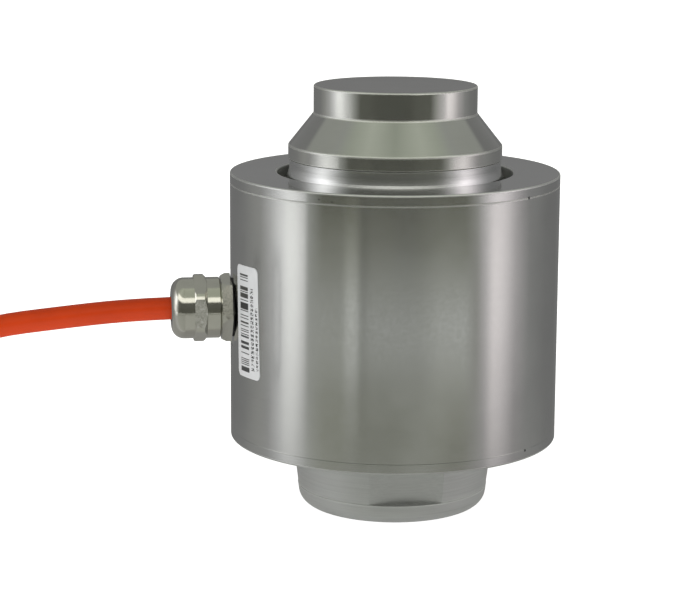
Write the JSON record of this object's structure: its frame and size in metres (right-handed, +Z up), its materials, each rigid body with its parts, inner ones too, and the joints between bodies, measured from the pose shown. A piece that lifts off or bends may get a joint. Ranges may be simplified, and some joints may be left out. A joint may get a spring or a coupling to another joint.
{
  "type": "strain gauge load cell",
  "caption": "Column compression load cell: welded steel canister on a tapered foot, polished loading head, side cable gland and coiled signal cable.",
  "frame": {"origin": "centre of the foot's flat underside", "axes": "+Z up along the measuring column towards the loading head, -X along the cable gland, +Y and -Y through the foot's flats"},
  "size_m": [0.375, 0.167, 0.1424],
  "materials": {
    "polished_steel": "polished",
    "turned_steel": "satin, finely turned",
    "brushed_shell": "brushed",
    "milled_steel": "milled and turned",
    "nickel_plated_brass": "nickel-plated, satin",
    "black_rubber": "matte",
    "cage_plastic": "matte",
    "cable_sheath": "smooth, matte",
    "core_insulation": "smooth",
    "ferrule_metal": "tinned",
    "tie_plastic": "matte",
    "board_resin": "satin",
    "gauge_foil": "matte film with foil",
    "solder": "tinned",
    "copper_wire": "enamelled",
    "zinc_steel": "plated",
    "resistor_ceramic": "matte",
    "label_film": "smooth white film"
  },
  "bodies": {
    "root": {"loading_head": "polished_steel", "measuring_column": "turned_steel", "top_lid": "turned_steel", "top_membrane": "turned_steel", "housing_shell": "brushed_shell", "bottom_lid": "turned_steel", "bottom_membrane": "turned_steel", "foot": "milled_steel", "strain_gauges": "gauge_foil", "gauge_terminals": "solder", "bridge_board": "board_resin", "board_spacers": "zinc_steel", "board_screws": "zinc_steel", "trim_resistors": "resistor_ceramic", "board_posts": "solder", "bridge_wires": "copper_wire", "gland_seal_ring": "black_rubber", "gland_body": "nickel_plated_brass", "gland_clamp_cage": "cage_plastic", "gland_seal_sleeve": "black_rubber", "gland_dome_nut": "nickel_plated_brass", "cable_sheath_inside": "cable_sheath", "cable_cores": "core_insulation", "cable_run": "cable_sheath", "cable_coil": "cable_sheath", "coil_ties": "tie_plastic", "lead_cores": "core_insulation", "lead_ferrules": "ferrule_metal", "label": "label_film"}
  },
  "joints": []
}
